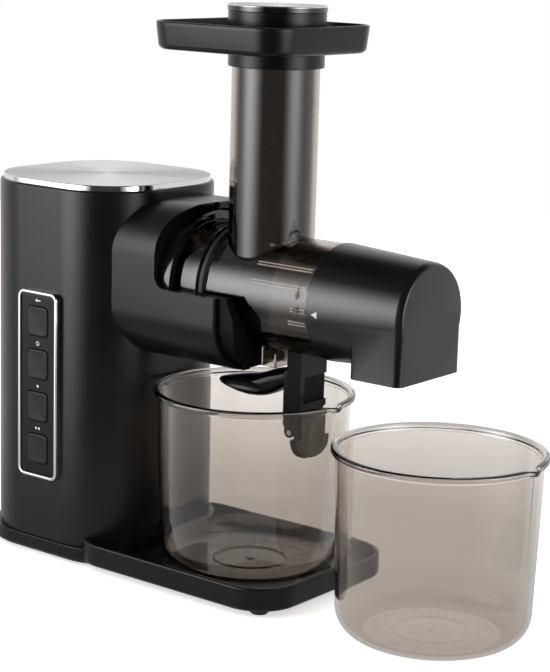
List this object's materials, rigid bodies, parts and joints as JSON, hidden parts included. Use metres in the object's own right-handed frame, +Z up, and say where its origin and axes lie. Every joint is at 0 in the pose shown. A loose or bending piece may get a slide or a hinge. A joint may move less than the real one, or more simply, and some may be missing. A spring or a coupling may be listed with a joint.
{
  "type": "horizontal slow juicer",
  "caption": "Horizontal screw juicer with an upright motor column, clear drum and feed chute, tray with pusher, tap lever, end cap and two clear beakers.",
  "frame": {"origin": "middle of the whole footprint at table height, both beakers included", "axes": "+X along the drum from the motor column towards the pulp spout, -Y is the side with the control panel, +Z up"},
  "size_m": [0.38, 0.1292, 0.3403],
  "materials": {
    "soft_black": "fine satin, black",
    "gloss_black": "polished, black",
    "smoky_clear": "clear smoky grey-brown plastic",
    "brushed_lid": "radially brushed stainless steel with a polished edge",
    "chrome_trim": "polished plated plastic",
    "button_black": "satin black keys with pale marks",
    "rubber_black": "moulded rubber",
    "silicone_grey": "moulded silicone",
    "steel": "plain machined steel",
    "motor_steel": "zinc-grey pressed steel",
    "die_cast": "as cast",
    "white_nylon": "natural nylon",
    "screw_grey": "dark moulded plastic",
    "copper_core": "varnished copper winding and steel core",
    "circuit_green": "solder-masked circuit board",
    "component_grey": "moulded electronic parts"
  },
  "bodies": {
    "stand": {"base": "soft_black", "bottom_plate": "soft_black", "feet": "rubber_black", "base_screws": "steel", "housing": "soft_black", "lid": "brushed_lid", "cord_inlet": "rubber_black", "bezel": "chrome_trim", "fascia": "gloss_black", "tact_switches": "component_grey", "switch_board": "circuit_green", "motor_can": "motor_steel", "motor_front_bell": "die_cast", "motor_rear_bell": "die_cast", "frame_rear": "die_cast", "frame_front": "die_cast", "frame_screws": "steel", "idler_axle": "steel", "ball_bearing": "steel", "shaft_seal": "rubber_black", "control_board": "circuit_green", "control_parts": "component_grey", "collar": "soft_black", "collar_screws": "steel", "bayonet_ring": "gloss_black", "drum_cradle": "gloss_black", "drum": "smoky_clear", "drum_seal": "rubber_black", "strainer": "steel", "screw_seal": "silicone_grey", "outlet_block": "gloss_black", "lever_pin": "steel"},
    "motor_turning": {"rotor": "copper_core", "motor_pinion": "steel", "fan": "white_nylon"},
    "idler": {"idler_gear": "white_nylon"},
    "screw_train": {"output_gear": "white_nylon", "output_shaft": "steel", "screw": "screw_grey", "screw_pin": "steel"},
    "lever_group": {"lever": "gloss_black", "lever_pad": "silicone_grey"},
    "cap_bush": {"end_bush": "white_nylon"},
    "cap_group": {"end_cap": "soft_black", "cap_seal": "silicone_grey"},
    "feed_tray_group": {"feed_tray": "soft_black"},
    "pusher_group": {"pusher": "soft_black", "pusher_disc": "brushed_lid"},
    "juice_beaker": {"jug": "smoky_clear"},
    "spare_beaker": {"spare_jug": "smoky_clear"},
    "key_1": {"button_1": "button_black"},
    "key_2": {"button_2": "button_black"},
    "key_3": {"button_3": "button_black"},
    "key_4": {"button_4": "button_black"}
  },
  "joints": [
    {"name": "screw_spin", "type": "hinge", "parent": "stand", "child": "screw_train", "pos_m": [-0.09, 0.00315, 0.1765], "axis": [1, 0, 0], "continuous": true},
    {"name": "idler_spin", "type": "hinge", "parent": "stand", "child": "idler", "pos_m": [-0.105, 0.00315, 0.134], "axis": [1, 0, 0], "continuous": true},
    {"name": "motor_spin", "type": "hinge", "parent": "stand", "child": "motor_turning", "pos_m": [-0.15, 0.00315, 0.098], "axis": [1, 0, 0], "continuous": true},
    {"name": "lever_swing", "type": "hinge", "parent": "stand", "child": "lever_group", "pos_m": [0.0255, 0.00315, 0.0981], "axis": [0, -1, 0], "range_deg": [0, 90]},
    {"name": "cap_pull", "type": "slide", "parent": "stand", "child": "cap_bush", "axis": [1, 0, 0], "range_m": [0, 0.07]},
    {"name": "cap_twist", "type": "hinge", "parent": "cap_bush", "child": "cap_group", "pos_m": [0.07, 0.00315, 0.1765], "axis": [-1, 0, 0], "range_deg": [0, 25]},
    {"name": "feed_tray_lift", "type": "slide", "parent": "stand", "child": "feed_tray_group", "axis": [0, 0, 1], "range_m": [0, 0.04]},
    {"name": "pusher_lift", "type": "slide", "parent": "feed_tray_group", "child": "pusher_group", "axis": [0, 0, 1], "range_m": [0, 0.13]},
    {"name": "beaker_lift", "type": "slide", "parent": "stand", "child": "juice_beaker", "axis": [0, 0, 1], "range_m": [0, 0.012]},
    {"name": "spare_beaker_lift", "type": "slide", "parent": "stand", "child": "spare_beaker", "axis": [0, 0, 1], "range_m": [0, 0.02]},
    {"name": "key_1_press", "type": "slide", "parent": "stand", "child": "key_1", "axis": [0, 1, 0], "range_m": [0, 0.0012], "stiffness_N_per_m": 400, "springref_m": -0.0005},
    {"name": "key_2_press", "type": "slide", "parent": "stand", "child": "key_2", "axis": [0, 1, 0], "range_m": [0, 0.0012], "stiffness_N_per_m": 400, "springref_m": -0.0005},
    {"name": "key_3_press", "type": "slide", "parent": "stand", "child": "key_3", "axis": [0, 1, 0], "range_m": [0, 0.0012], "stiffness_N_per_m": 400, "springref_m": -0.0005},
    {"name": "key_4_press", "type": "slide", "parent": "stand", "child": "key_4", "axis": [0, 1, 0], "range_m": [0, 0.0012], "stiffness_N_per_m": 400, "springref_m": -0.0005}
  ],
  "couplings": [
    {"joint": "idler_spin", "follows": "screw_spin", "ratio": -4.6667},
    {"joint": "motor_spin", "follows": "screw_spin", "ratio": 23.333}
  ]
}
